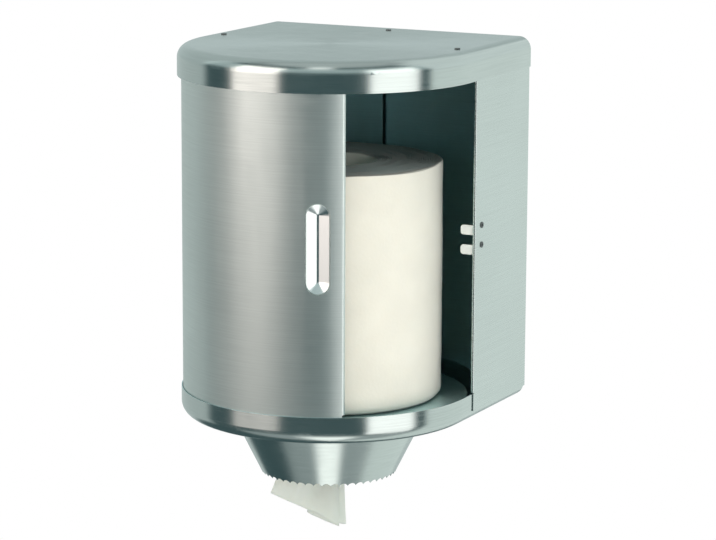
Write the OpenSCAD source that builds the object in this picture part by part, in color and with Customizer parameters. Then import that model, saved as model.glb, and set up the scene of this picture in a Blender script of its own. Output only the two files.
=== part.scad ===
// Wall-mounted centrefeed roll dispenser in satin sheet steel.
// Millimetres, +Z up, front towards -Y.
// The origin lies on the wall plane, at the centre of the four wall holes.

/* [Body] */
// Width across the flat sides of the cap; the depth from the wall is the same
body_w = 260; // [250:1:275]
// Height from the cap's top to the tray's underside
body_h = 320; // [312:1:336]
// Height of the cap's skirt
cap_h = 26; // [24:0.5:32]
// Height of the tray's rim
tray_h = 24; // [22:0.5:26]
// Radius of the rounded edge of cap and tray
edge_r = 11; // [9.5:0.5:11.5]
// Sheet of the cap
cap_t = 1; // [0.8:0.1:1.2]
// Sheet of shell, tray, cone and plate
sheet_t = 0.8; // [0.7:0.1:1]
// Gap between the cap's skirt and the shell's sides
skirt_gap = 0.4; // [0.3:0.1:0.6]

/* [Shell] */
// Front edges of the flat sides, behind the roll's axis
side_set_back = 20; // [18:1:24]
// Lower edge of the shell above the tray's underside
shell_lift = 9; // [7:0.5:10]
// Depth of the folded hem on each side's front edge
hem_d = 6; // [4:0.5:7]
// Radius of the hem's fold
hem_r = 1.5; // [1.2:0.1:1.5]
// Spacing of the wall holes across
hole_dx = 190; // [180:1:196]
// Spacing of the wall holes in height
hole_dz = 220; // [200:1:230]
// Bore of a wall hole
hole_d = 6.5; // [5:0.5:7]

/* [Door] */
// Sheet of the door
door_t = 0.8; // [0.7:0.1:0.8]
// Running gap each side of the door's sheet
door_gap = 0.5; // [0.4:0.05:0.6]
// Free edge, in degrees to the right of the front, as drawn
door_at = 33.2; // [30:0.2:36]
// Arc of the door
door_arc = 208; // [206:0.5:210]
// Radius of the free edge, curled inwards
door_curl = 2.5; // [2:0.1:2.6]
// Angle from the free edge back to the middle of the pull
pull_back = 10.4; // [10:0.2:11]
// Height of the pull's middle above the wall holes' centre
pull_z = 5.3; // [0:0.1:10]
// Width of the pull's recess
pull_w = 20.6; // [18:0.2:21]
// Height of the pull's recess
pull_h = 76; // [70:1:80]
// Depth of the pull's recess
pull_d = 5; // [4:0.25:5]
// Width of the pull's flange behind the sheet
pull_lip = 4; // [3:0.5:5]
// Arc of one glide, in degrees
glide_arc = 7; // [5:0.5:9]
// Height of a glide
glide_h = 9; // [7:0.5:10]

/* [Catch] */
// Height of a tongue's finger
tongue_h = 8.2; // [7:0.1:9]
// Length of the finger from the shell's side
tongue_len = 15.8; // [14:0.2:17]
// Radius of the finger's corners
tongue_r = 2.4; // [1.5:0.1:3]
// Drop of the finger's middle below its rivet
tongue_drop = 4.2; // [4:0.1:5]
// Middle of the two rivets above the wall holes' centre
tongue_z = 0.6; // [-5:0.1:5]
// Spacing of the two tongues
tongue_pitch = 17; // [15:0.5:20]
// Thickness of a tongue
tongue_t = 1.6; // [1.4:0.1:1.8]
// Rivet of a tongue, behind the finger's front face
rivet_back = 6.6; // [6.2:0.1:8]
// Shank of a catch rivet
rivet_d = 3.2; // [3:0.1:3.4]

/* [Tracks] */
// Sheet of the tracks and guides
rail_t = 1; // [0.9:0.1:1.1]
// Top of the lower track above the tray's floor
rail_h = 7.2; // [6.8:0.1:7.6]
// Top of the roll plate above the lower track
plate_h = 9; // [8:0.5:10]
// Gap between the roll plate's edge and the door's sheet, filled by the glides
plate_gap = 5.7; // [5:0.1:7]
// Radius of the paper hole in the roll plate
plate_hole = 46; // [43:1:50]
// Drop of the upper track's shelf below the cap's top
track_drop = 13; // [12.5:0.5:14]
// Depth of the upper track's channel
track_lip = 9; // [8:0.5:10]
// Width of the upper track's flange under the cap
flange_w = 11; // [10:0.5:14]
// Cap screws, inwards of the upper track's riser
screw_inset = 5.2; // [5:0.1:6]
// Width of the rear guide's foot
foot_w = 9; // [7:0.5:9]
// Thread size of the cap's screws
screw_d = 3; // [2.5:0.5:3]

/* [Nozzle] */
// Radius of the cone where it leaves the tray
cone_top_r = 85; // [83:0.5:87]
// Radius of the cone's mouth
cone_low_r = 58.6; // [57:0.1:60]
// Height of the cone below the tray
cone_h = 53; // [48:0.5:56]
// Teeth around the cone's mouth
teeth = 50; // [46:2:50]
// Depth of a tooth
tooth_d = 2.2; // [1.6:0.1:2.4]

/* [Paper] */
// Diameter of the paper roll
roll_d = 194; // [180:1:200]
// Height of the paper roll
roll_h = 205; // [190:1:208]
// Bore of the roll
roll_bore = 80; // [78:1:82]
// Rounding of the roll's ends
roll_edge = 4; // [3:0.5:6]
// Length of tail hanging below the cone
tail_drop = 52; // [40:1:60]
// Thickness of the tail's folds
tail_t = 0.8; // [0.6:0.1:1]
// Height over the roll plate at which the tail leaves the roll's bore
tail_rise = 60; // [50:1:70]
// Half width of the tail where it is gathered
tail_gather = 12; // [10:0.5:14]
// Width that the tail gains to its left as it opens
tail_spread = 39; // [30:1:42]
// Height of the tail's torn corner over its lowest point
tail_slant = 29; // [20:1:32]
// Depth of the tail's folds
tail_fold_d = 6; // [4:0.5:7]

/* [Hidden] */
$fn = 96;
eps = 0.01;
far = 200;
body_r = body_w / 2;
axis_y = -body_r;
z_top = body_h / 2;
z_bot = -body_h / 2;
shell_x = body_r - cap_t - skirt_gap;
shell_in = shell_x - sheet_t;
tray_r = shell_in;
tray_in = tray_r - sheet_t;
door_out = tray_in - door_gap;
door_in = door_out - door_t;
door_mid = (door_out + door_in) / 2;
floor_z = z_bot + sheet_t;
rim_z = z_bot + tray_h;
rail_z = floor_z + rail_h;
plate_z = rail_z + plate_h;
glide_gap = 0.3;
plate_r = door_in - plate_gap;
glide_in = plate_r + 1;
door_low = z_bot + edge_r - 1;
cap_in_z = z_top - cap_t;
shelf_z = z_top - track_drop;
lip_z = shelf_z - track_lip;
door_high = shelf_z - rail_t - door_gap;
shell_low = z_bot + shell_lift;
shell_high = z_top - edge_r - 1.5;
side_y = axis_y + side_set_back;
flange_r = body_r - edge_r - 0.8;
screw_r = flange_r - screw_inset;
tongue_front = side_y + hem_d + 0.4;
tongue_y = tongue_front + rivet_back;
pull_az = door_at - pull_back;
pull_rad = (pow(pull_w / 2, 2) + pow(pull_d, 2)) / (2 * pull_d);
pull_c = door_out - pull_d + pull_rad;
screw_az = [98, 180, 262];
cone_flange = cone_top_r + 11;
cone_rivet_r = cone_top_r + 6;
cone_low = z_bot - cone_h;
tooth_r = tooth_d * 1.8;
roll_low = plate_z;
tail_top = plate_z + tail_rise;
tail_wall = roll_bore / 2 - 0.3 - tail_t / 2;
tail_low = cone_low - tail_drop;
steel = [0.74, 0.77, 0.75];
bright = [0.86, 0.88, 0.87];
nylon = [0.95, 0.95, 0.93];
paper = [0.96, 0.94, 0.89];

// Turns its children about the roll's axis; 0 faces the front, positive to the right
module at_az(az) {
  translate([0, axis_y, 0])
    rotate([0, 0, az - 90])
      children();
}

// Ring sector about the roll's axis, from one azimuth to another
module sector(from_az, to_az) {
  translate([0, axis_y, 0])
    rotate([0, 0, from_az - 90])
      rotate_extrude(angle = to_az - from_az)
        children();
}

// Full ring about the roll's axis
module ring() {
  translate([0, axis_y, 0])
    rotate_extrude()
      children();
}

// Right half of a pan's section, rounded at its lower outer corner
module pan_half(rad, h, r) {
  difference() {
    square([rad, h]);
    translate([rad - r, 0])
      difference() {
        square([r, r]);
        translate([0, r])
          circle(r);
      }
  }
}

// Pan with a half-round front and a straight rear, its floor at z = 0
module pan(rad, h, r, back) {
  translate([0, axis_y, 0])
    rotate([0, 0, 180])
      rotate_extrude(angle = 180)
        pan_half(rad, h, r);
  translate([0, back, 0])
    rotate([90, 0, 0])
      linear_extrude(back - axis_y) {
        pan_half(rad, h, r);
        mirror([1, 0, 0])
          pan_half(rad, h, r);
      }
}

// Pan-headed fastener standing on z = 0, its shank going down
module fastener(head_r, head_h, shank_r, shank_h) {
  cylinder(h = head_h, r = head_r);
  translate([0, 0, -shank_h])
    cylinder(h = shank_h + eps, r = shank_r);
}

// Cap: flat top, rounded edge, and a skirt all round that stands inside the back plate
module top_cap() {
  color(steel)
    difference() {
      translate([0, 0, z_top])
        mirror([0, 0, 1])
          pan(body_r, cap_h, edge_r, -sheet_t);
      translate([0, 0, cap_in_z])
        mirror([0, 0, 1])
          pan(body_r - cap_t, cap_h, edge_r - cap_t, -sheet_t - cap_t);
      for (a = screw_az)
        at_az(a)
          translate([screw_r, 0, cap_in_z - 1])
            cylinder(h = cap_t + 2, r = screw_d / 2 + 0.2);
      for (s = [0, 1])
        mirror([s, 0, 0])
          side_notch();
    }
}

// Notch in the cap's rear skirt, through which one side of the shell passes
module side_notch() {
  translate([shell_in - skirt_gap / 2, -sheet_t - cap_t - 1, z_top - cap_h - 1])
    cube([
      body_r - cap_t - shell_in + skirt_gap / 2,
      cap_t + 2,
      shell_high - z_top + cap_h + 1 + skirt_gap / 2
    ]);
}

// Shell: back plate and two flat sides folded from one sheet
module rear_shell() {
  color(steel)
    difference() {
      union() {
        translate([-shell_x, -sheet_t, shell_low])
          cube([2 * shell_x, sheet_t, shell_high - shell_low]);
        for (s = [0, 1])
          mirror([s, 0, 0])
            shell_side();
        translate([-flange_r, -sheet_t, shell_high - eps])
          cube([2 * flange_r, sheet_t, cap_in_z - shell_high + eps]);
      }
      for (x = [-0.5, 0.5], z = [-0.5, 0.5])
        translate([x * hole_dx, 1, z * hole_dz])
          rotate([90, 0, 0])
            cylinder(h = sheet_t + 2, r = hole_d / 2);
      for (z = [-0.5, 0.5])
        translate([shell_in - 1, tongue_y, tongue_z + z * tongue_pitch])
          rotate([0, 90, 0])
            cylinder(h = sheet_t + 2, r = rivet_d / 2 + 0.1);
    }
}

// One flat side; above the tray's rim its front edge is folded into an open hem
module shell_side() {
  hem_z = rim_z + 1;
  hem_h = lip_z - hem_z - 0.6;
  translate([shell_in, side_y + hem_r, shell_low])
    cube([sheet_t, -side_y - hem_r, shell_high - shell_low]);
  translate([shell_in, side_y, shell_low])
    cube([sheet_t, hem_r + eps, hem_z - shell_low - 0.6]);
  translate([shell_x - hem_r, side_y + hem_r, hem_z])
    rotate([0, 0, 180])
      rotate_extrude(angle = 180)
        translate([hem_r - sheet_t, 0])
          square([sheet_t, hem_h]);
  translate([shell_x - 2 * hem_r, side_y + hem_r, hem_z])
    cube([sheet_t, hem_d - hem_r, hem_h]);
}

// Tray: floor and a rounded rim that stands inside the shell
module bottom_tray() {
  color(steel)
    difference() {
      translate([0, 0, z_bot])
        pan(tray_r, tray_h, edge_r, -sheet_t);
      translate([0, 0, floor_z])
        pan(tray_in, tray_h, edge_r - sheet_t, -2 * sheet_t);
      translate([0, axis_y, z_bot - 1])
        cylinder(h = sheet_t + 2, r = cone_top_r + 0.4);
      for (a = [45 : 90 : 315])
        at_az(a)
          translate([cone_rivet_r, 0, z_bot - 1])
            cylinder(h = sheet_t + 2, r = rivet_d / 2 + 0.1);
    }
}

// Cone: flange on the tray's floor, tapered wall and a toothed mouth
module nozzle_cone() {
  color(steel)
    difference() {
      ring()
        polygon([
          [cone_top_r - sheet_t, floor_z + sheet_t],
          [cone_flange, floor_z + sheet_t],
          [cone_flange, floor_z],
          [cone_top_r, floor_z],
          [cone_top_r, z_bot],
          [cone_low_r, cone_low],
          [cone_low_r - sheet_t, cone_low],
          [cone_top_r - sheet_t, z_bot]
        ]);
      for (i = [0 : teeth - 1])
        at_az(360 * (i + 0.5) / teeth)
          translate([cone_low_r - 4, 0, cone_low + tooth_d - tooth_r])
            rotate([0, 90, 0])
              cylinder(h = 8, r = tooth_r);
      for (a = [45 : 90 : 315])
        at_az(a)
          translate([cone_rivet_r, 0, floor_z - 1])
            cylinder(h = sheet_t + 2, r = rivet_d / 2 + 0.1);
    }
}

// Raised plate that carries the roll, with a paper hole and a turned-down edge
module roll_plate() {
  color(steel)
    ring()
      polygon([
        [plate_hole, plate_z - 6],
        [plate_hole, plate_z],
        [plate_r, plate_z],
        [plate_r, rail_z],
        [plate_r - sheet_t, rail_z],
        [plate_r - sheet_t, plate_z - sheet_t],
        [plate_hole + sheet_t, plate_z - sheet_t],
        [plate_hole + sheet_t, plate_z - 6]
      ]);
}

// Ring-shaped shelf the door's glides run on
module lower_track() {
  color(steel)
    ring()
      polygon([
        [tray_in - edge_r - 1.4, floor_z],
        [tray_in - edge_r - 1.4, rail_z],
        [door_in, rail_z],
        [door_in, rail_z - rail_t],
        [tray_in - edge_r - 1.4 + rail_t, rail_z - rail_t],
        [tray_in - edge_r - 1.4 + rail_t, floor_z]
      ]);
}

// Curved guide behind the door, standing on the tray's floor
module rear_guide() {
  color(steel)
    sector(122, 238)
      polygon([
        [tray_in - foot_w, floor_z],
        [tray_in - foot_w, floor_z + sheet_t],
        [tray_in, floor_z + sheet_t],
        [tray_in, rim_z + 5],
        [tray_in + sheet_t, rim_z + 5],
        [tray_in + sheet_t, floor_z]
      ]);
}

// Inverted channel under the cap that holds the door's upper edge
module upper_track() {
  color(steel)
    difference() {
      ring()
        polygon([
          [flange_r - flange_w, cap_in_z],
          [flange_r, cap_in_z],
          [flange_r, shelf_z],
          [door_out + door_gap + rail_t, shelf_z],
          [door_out + door_gap + rail_t, lip_z],
          [door_out + door_gap, lip_z],
          [door_out + door_gap, shelf_z - rail_t],
          [door_in - door_gap, shelf_z - rail_t],
          [door_in - door_gap, lip_z],
          [door_in - door_gap - rail_t, lip_z],
          [door_in - door_gap - rail_t, shelf_z - rail_t],
          [flange_r - rail_t, shelf_z - rail_t],
          [flange_r - rail_t, cap_in_z - rail_t],
          [flange_r - flange_w, cap_in_z - rail_t]
        ]);
      for (a = screw_az)
        at_az(a)
          translate([screw_r, 0, cap_in_z - rail_t - 1])
            cylinder(h = rail_t + 2, r = screw_d / 2 + 0.2);
    }
}

// Three low-headed screws through the cap into the upper track
module cap_screws() {
  color(bright)
    for (a = screw_az)
      at_az(a)
        translate([screw_r, 0, z_top])
          fastener(2.4, 0.8, screw_d / 2, cap_t + rail_t + 3);
}

// Nuts of the cap's screws, under the upper track's flange
module cap_nuts() {
  color(bright)
    for (a = screw_az)
      at_az(a)
        translate([screw_r, 0, cap_in_z - rail_t - 2.4])
          difference() {
            cylinder(h = 2.4, r = 3.18, $fn = 6);
            translate([0, 0, -1])
              cylinder(h = 5, r = screw_d / 2);
          }
}

// Catch tongue: foot riveted to the shell's side, and a finger that stops the door's edge
module catch_tongue() {
  low = -tongue_drop - tongue_h / 2;
  color(nylon)
    difference() {
      union() {
        translate([shell_in - tongue_t, tongue_front, low])
          cube([tongue_t, rivet_back + 6, tongue_h + tongue_drop - 1]);
        translate([shell_in - tongue_len, tongue_front, low])
          cube([tongue_len, tongue_t, tongue_h]);
      }
      translate([shell_in - tongue_t - 1, tongue_y, 0])
        rotate([0, 90, 0])
          cylinder(h = tongue_t + 2, r = rivet_d / 2 + 0.1);
      for (s = [0, 1])
        translate([shell_in - tongue_len, tongue_front - 1, low + s * tongue_h])
          mirror([0, 0, s])
            tongue_corner();
    }
}

// Cutter that rounds one corner of a finger's tip
module tongue_corner() {
  difference() {
    translate([-1, 0, -1])
      cube([tongue_r + 1, tongue_t + 2, tongue_r + 1]);
    translate([tongue_r, tongue_t + 3, tongue_r])
      rotate([90, 0, 0])
        cylinder(h = tongue_t + 4, r = tongue_r);
  }
}

// Upper catch tongue
module catch_upper() {
  translate([0, 0, tongue_z + tongue_pitch / 2])
    catch_tongue();
}

// Lower catch tongue
module catch_lower() {
  translate([0, 0, tongue_z - tongue_pitch / 2])
    catch_tongue();
}

// Hollow rivets that hold the two tongues to the shell's side
module catch_rivets() {
  color(bright)
    for (z = [-0.5, 0.5])
      translate([shell_x, tongue_y, tongue_z + z * tongue_pitch])
        rotate([0, 90, 0])
          difference() {
            union() {
              fastener(2.6, 0.6, rivet_d / 2, sheet_t + tongue_t);
              translate([0, 0, -sheet_t - tongue_t - 1])
                cylinder(h = 1, r = 2.6);
            }
            translate([0, 0, -1.6])
              cylinder(h = 3, r = 1.1);
          }
}

// Four rivets that hold the cone's flange to the tray's floor
module cone_rivets() {
  color(bright)
    for (a = [45 : 90 : 315])
      at_az(a)
        translate([cone_rivet_r, 0, floor_z + sheet_t]) {
          fastener(2.8, 1, rivet_d / 2, 2 * sheet_t);
          translate([0, 0, -2 * sheet_t - 1])
            cylinder(h = 1, r = 2.8);
        }
}

// Upright slot outline with round ends
module slot(w, h) {
  square([h - w, w], center = true);
  for (s = [-0.5, 0.5])
    translate([s * (h - w), 0])
      circle(w / 2);
}

// Upright bar with ball ends
module ball_bar(rad, len) {
  rotate_extrude()
    intersection() {
      translate([0, -len])
        square([2 * rad, 2 * len]);
      union() {
        translate([-rad, -len / 2])
          square([2 * rad, len]);
        for (s = [-0.5, 0.5])
          translate([0, s * len])
            circle(rad);
      }
    }
}

// Door: curved sheet with a curled free edge and an opening for the pull
module door_panel() {
  curl_az = door_curl / door_out * 180 / PI;
  color(steel) {
    difference() {
      sector(door_at - door_arc, door_at - curl_az)
        translate([door_in, door_low])
          square([door_t, door_high - door_low]);
      at_az(pull_az)
        translate([door_mid - 4, 0, pull_z])
          rotate([0, 90, 0])
            linear_extrude(8)
              slot(pull_w + 0.2, pull_h + 0.2);
    }
    at_az(door_at - curl_az)
      translate([door_out - door_curl, 0, rim_z + 2])
        rotate_extrude(angle = 90)
          translate([door_curl - door_t, 0])
            square([door_t, lip_z - rim_z - 4]);
  }
}

// Pull: polished trough with a flange behind the door's sheet
module door_pull() {
  color(bright)
    difference() {
      union() {
        intersection() {
          at_az(pull_az)
            translate([pull_c, 0, pull_z])
              ball_bar(pull_rad + door_t, pull_h - pull_w);
          translate([0, axis_y, pull_z - far / 2])
            cylinder(h = far, r = door_in);
        }
        intersection() {
          at_az(pull_az)
            translate([door_mid - 20, 0, pull_z])
              rotate([0, 90, 0])
                linear_extrude(40)
                  slot(pull_w + 2 * pull_lip, pull_h + 2 * pull_lip);
          sector(pull_az - 10, pull_az + 10)
            translate([door_in - door_t, pull_z - far / 2])
              square([door_t, far]);
        }
      }
      at_az(pull_az)
        translate([pull_c, 0, pull_z])
          ball_bar(pull_rad, pull_h - pull_w);
    }
}

// Three nylon glides inside the door's lower edge
module door_glides() {
  color(nylon)
    for (k = [0.06, 0.5, 0.94])
      sector(door_at - k * door_arc - glide_arc / 2, door_at - k * door_arc + glide_arc / 2)
        polygon([
          [glide_in, rail_z + glide_gap],
          [door_in, rail_z + glide_gap],
          [door_in, rail_z + glide_gap + glide_h],
          [glide_in + 1.5, rail_z + glide_gap + glide_h],
          [glide_in, rail_z + glide_gap + glide_h - 1.5]
        ]);
}

// Paper roll standing on the plate
module paper_roll() {
  color(paper)
    ring()
      difference() {
        translate([roll_bore / 2, roll_low])
          square([(roll_d - roll_bore) / 2, roll_h]);
        for (e = [0, 1])
          translate([roll_d / 2 - roll_edge, roll_low + e * roll_h])
            mirror([0, e])
              difference() {
                square([roll_edge, roll_edge]);
                translate([0, roll_edge])
                  circle(roll_edge);
              }
      }
}

// Paper tail: strip that peels off the roll's bore and hangs in folds through the cone
tail_nu = 30;
tail_nv = 14;
function tail_left(t) = -tail_gather - tail_spread * pow(t, 1.5);
function tail_right(t) = tail_gather * (1 + t - 0.75 * t * t);
function tail_end(s) = tail_low + tail_slant * pow(1 - s, 1.3);
function tail_peel(t) = t < 0.36 ? pow(1 - t / 0.36, 2) : 0;
function tail_bore(s) = tail_wall * [cos(150 - 110 * s), sin(150 - 110 * s)];
function tail_fold(s, t) = [
  tail_left(t) + (tail_right(t) - tail_left(t)) * (s + 0.03 * sin(720 * s)),
  tail_fold_d * ((1 - 0.25 * t) * sin(760 * s + 40 + 60 * t) + 0.7 * sin(200 * t))
];
function tail_xy(s, t) = tail_peel(t) * tail_bore(s) + (1 - tail_peel(t)) * tail_fold(s, t);
function tail_dir(s, t) = tail_xy(s + 0.01, t) - tail_xy(s - 0.01, t);
function tail_pt(s, t, side) =
  let (p = tail_xy(s, t))
  let (d = tail_dir(s, t))
  let (q = side * tail_t / 2 / norm(d))
  [p[0] - d[1] * q, p[1] + d[0] * q, tail_top + (tail_end(s) - tail_top) * t];
function tail_id(side, i, j) = side * (tail_nu + 1) * (tail_nv + 1) + j * (tail_nu + 1) + i;
function quad(a, b, c, d) = [[a, b, c], [a, c, d]];

module paper_tail() {
  points = [
    for (side = [-1, 1], j = [0 : tail_nv], i = [0 : tail_nu])
      tail_pt(i / tail_nu, j / tail_nv, side)
  ];
  faces = concat(
    [for (j = [0 : tail_nv - 1], i = [0 : tail_nu - 1], f = quad(
      tail_id(0, i, j), tail_id(0, i, j + 1), tail_id(0, i + 1, j + 1), tail_id(0, i + 1, j))) f],
    [for (j = [0 : tail_nv - 1], i = [0 : tail_nu - 1], f = quad(
      tail_id(1, i, j), tail_id(1, i + 1, j), tail_id(1, i + 1, j + 1), tail_id(1, i, j + 1))) f],
    [for (i = [0 : tail_nu - 1], f = quad(
      tail_id(0, i, 0), tail_id(0, i + 1, 0), tail_id(1, i + 1, 0), tail_id(1, i, 0))) f],
    [for (i = [0 : tail_nu - 1], f = quad(tail_id(0, i, tail_nv), tail_id(1, i, tail_nv),
      tail_id(1, i + 1, tail_nv), tail_id(0, i + 1, tail_nv))) f],
    [for (j = [0 : tail_nv - 1], f = quad(
      tail_id(0, 0, j), tail_id(1, 0, j), tail_id(1, 0, j + 1), tail_id(0, 0, j + 1))) f],
    [for (j = [0 : tail_nv - 1], f = quad(tail_id(0, tail_nu, j), tail_id(0, tail_nu, j + 1),
      tail_id(1, tail_nu, j + 1), tail_id(1, tail_nu, j))) f]
  );
  color(paper)
    translate([0, axis_y, 0])
      rotate([0, 0, 24])
        polyhedron(points = points, faces = faces);
}

top_cap();
rear_shell();
bottom_tray();
nozzle_cone();
roll_plate();
lower_track();
rear_guide();
upper_track();
cap_screws();
cap_nuts();
catch_upper();
catch_lower();
catch_rivets();
cone_rivets();
door_panel();
door_pull();
door_glides();
paper_roll();
paper_tail();
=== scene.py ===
"""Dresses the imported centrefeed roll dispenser: steel, nylon and paper finishes, roll, tail and studio."""

import math

import bmesh
import bpy
from mathutils import Matrix, Vector, noise


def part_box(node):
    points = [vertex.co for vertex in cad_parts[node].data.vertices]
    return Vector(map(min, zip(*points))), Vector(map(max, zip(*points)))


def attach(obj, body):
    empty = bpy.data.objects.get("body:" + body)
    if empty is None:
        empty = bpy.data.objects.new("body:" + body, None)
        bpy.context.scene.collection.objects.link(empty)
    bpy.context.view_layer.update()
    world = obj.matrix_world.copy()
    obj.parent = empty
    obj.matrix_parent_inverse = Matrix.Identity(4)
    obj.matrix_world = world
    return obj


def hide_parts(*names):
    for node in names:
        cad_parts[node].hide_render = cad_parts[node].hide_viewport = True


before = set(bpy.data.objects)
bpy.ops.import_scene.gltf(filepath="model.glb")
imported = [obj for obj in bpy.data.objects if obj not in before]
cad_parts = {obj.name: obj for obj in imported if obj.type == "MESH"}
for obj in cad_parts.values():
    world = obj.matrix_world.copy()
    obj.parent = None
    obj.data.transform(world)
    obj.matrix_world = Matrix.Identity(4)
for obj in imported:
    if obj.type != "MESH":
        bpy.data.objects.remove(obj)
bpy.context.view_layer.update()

bl_info = {
    "name": "Centrefeed dispenser dressing",
    "version": (1, 0, 0),
    "blender": (4, 5, 0),
    "location": "3D View > Sidebar > Dispenser",
    "description": "Finishes, paper and studio for a steel centrefeed roll dispenser",
    "category": "Object",
}

ROLL_LOW, ROLL_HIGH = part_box("paper_roll")
TAIL_LOW, TAIL_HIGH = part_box("paper_tail")
AXIS_Y = (ROLL_LOW.y + ROLL_HIGH.y) / 2
ROLL_R = (ROLL_HIGH.x - ROLL_LOW.x) / 2
BORE_R = 0.040
TAIL_TURN = math.radians(24)
BEND_FROM = 23.0
BEND_RATE = 4.4
PULL_AT = math.radians(22.8)
PULL_MID = 0.0053
PULL_STRAIGHT = 0.0277
PULL_R = 0.01311
PULL_SLOPE = 0.4854
PULL_FLOOR = 0.0011
DOOR_R = 0.1265
GRAIN_R = 0.127
INWARD = -0.05
FLOOR_R = 2.2
LAMP_FAR = 2.0
LAMP_COLOUR = (1.0, 0.965, 0.91)
ROOM_COLOUR = (0.062, 0.11, 0.118)
FLOOR_COLOUR = (0.45, 0.47, 0.465, 1)
PEEL_R = 39.2
PEEL_END = 0.36

SATIN_ROUND = ("upper_track", "lower_track", "rear_guide")
PRESSED = ("top_cap", "bottom_tray", "nozzle_cone")
SATIN_FLAT = ("rear_shell", "roll_plate")
BRIGHT = ("cap_nuts", "cone_rivets")
NYLON = ("catch_upper", "catch_lower", "door_glides")


# Property groups


class SteelSettings(bpy.types.PropertyGroup):
    """Sizes and colours of the steel finishes"""

    satin_colour: bpy.props.FloatVectorProperty(
        name="Satin steel", description="Colour of the satin sheet", subtype="COLOR", size=3,
        default=(0.56, 0.60, 0.58), min=0, max=1)
    bright_colour: bpy.props.FloatVectorProperty(
        name="Bright steel", description="Colour of the polished pull and fasteners", subtype="COLOR", size=3,
        default=(0.74, 0.76, 0.75), min=0, max=1)
    satin_roughness: bpy.props.FloatProperty(
        name="Satin roughness", description="Mean roughness of the satin sheet", default=0.33, min=0.05, max=0.8)
    # Inner side's colour: grey of the mill finish, tinted blue-green and set in level as painted reflection and
    # painted shade inside the housing
    mill_and_painted_reflection_colour: bpy.props.FloatVectorProperty(
        name="Mill finish and painted reflection", description="Colour of the sheet's inner side", subtype="COLOR", size=3,
        default=(0.58, 0.77, 0.79), min=0, max=1)
    mill_dullness: bpy.props.FloatProperty(
        name="Mill dullness", description="Roughness added on the sheet's inner side",
        default=0.14, min=0, max=0.6)
    grain_pitch: bpy.props.FloatProperty(
        name="Grain pitch", description="Spacing of the brushed lines", unit="LENGTH",
        default=0.0011, min=0.0002, max=0.01)


class NylonSettings(bpy.types.PropertyGroup):
    """Colour of the moulded pieces"""

    colour: bpy.props.FloatVectorProperty(
        name="Nylon", description="Colour of catch tongues and glides", subtype="COLOR", size=3,
        default=(0.88, 0.89, 0.86), min=0, max=1)


class PaperSettings(bpy.types.PropertyGroup):
    """Sizes and colours of the roll and its tail"""

    colour: bpy.props.FloatVectorProperty(
        name="Paper", description="Colour of the tissue", subtype="COLOR", size=3,
        default=(0.87, 0.82, 0.73), min=0, max=1)
    windings: bpy.props.IntProperty(
        name="Windings", description="Turns of the spiral seen on the roll's end", default=26, min=4, max=60)
    dent: bpy.props.FloatProperty(
        name="Dents", description="Depth of the soft dents in the roll", unit="LENGTH",
        default=0.0016, min=0, max=0.004)
    sheet_thickness: bpy.props.FloatProperty(
        name="Tail thickness", description="Thickness of the hanging tissue", unit="LENGTH",
        default=0.0003, min=0.0001, max=0.001)


class StudioSettings(bpy.types.PropertyGroup):
    """Light around the object"""

    key_power: bpy.props.FloatProperty(
        name="Key lamp", description="Power of the soft lamp at the front right", default=11.0, min=0, max=200)
    top_power: bpy.props.FloatProperty(
        name="Top lamp", description="Power of the soft lamp over the front", default=22.0, min=0, max=200)
    softbox: bpy.props.FloatProperty(
        name="Softboxes", description="Brightness of the two softboxes in the steel", default=2.2, min=0, max=6)
    floor_drop: bpy.props.FloatProperty(
        name="Floor drop", description="Floor below the hanging tail", unit="LENGTH",
        default=0.55, min=0.05, max=2)


# Node helpers


def math_node(tree, op, a, b=None, clamp=False):
    """Math node fed by sockets or numbers; gives its output"""
    n = tree.nodes.new("ShaderNodeMath")
    n.operation = op
    n.use_clamp = clamp
    for i, v in enumerate((a, b)):
        if v is None:
            continue
        if isinstance(v, (int, float)):
            n.inputs[i].default_value = v
        else:
            tree.links.new(v, n.inputs[i])
    return n.outputs[0]


def band(tree, value, low, high, soft):
    """1 between low and high, falling to 0 over soft on each side"""
    up = tree.nodes.new("ShaderNodeMapRange")
    up.interpolation_type = "SMOOTHSTEP"
    tree.links.new(value, up.inputs["Value"])
    up.inputs["From Min"].default_value = low - soft
    up.inputs["From Max"].default_value = low + soft
    down = tree.nodes.new("ShaderNodeMapRange")
    down.interpolation_type = "SMOOTHSTEP"
    tree.links.new(value, down.inputs["Value"])
    down.inputs["From Min"].default_value = high - soft
    down.inputs["From Max"].default_value = high + soft
    down.inputs["To Min"].default_value = 1.0
    down.inputs["To Max"].default_value = 0.0
    return math_node(tree, "MULTIPLY", up.outputs["Result"], down.outputs["Result"])


def new_group(name, inputs, outputs):
    """Empty shader node group with named sockets"""
    g = bpy.data.node_groups.new(name, "ShaderNodeTree")
    for label, kind, value in inputs:
        s = g.interface.new_socket(label, in_out="INPUT", socket_type=kind)
        s.default_value = value
    for label, kind in outputs:
        g.interface.new_socket(label, in_out="OUTPUT", socket_type=kind)
    return g, g.nodes.new("NodeGroupInput"), g.nodes.new("NodeGroupOutput")


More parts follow.
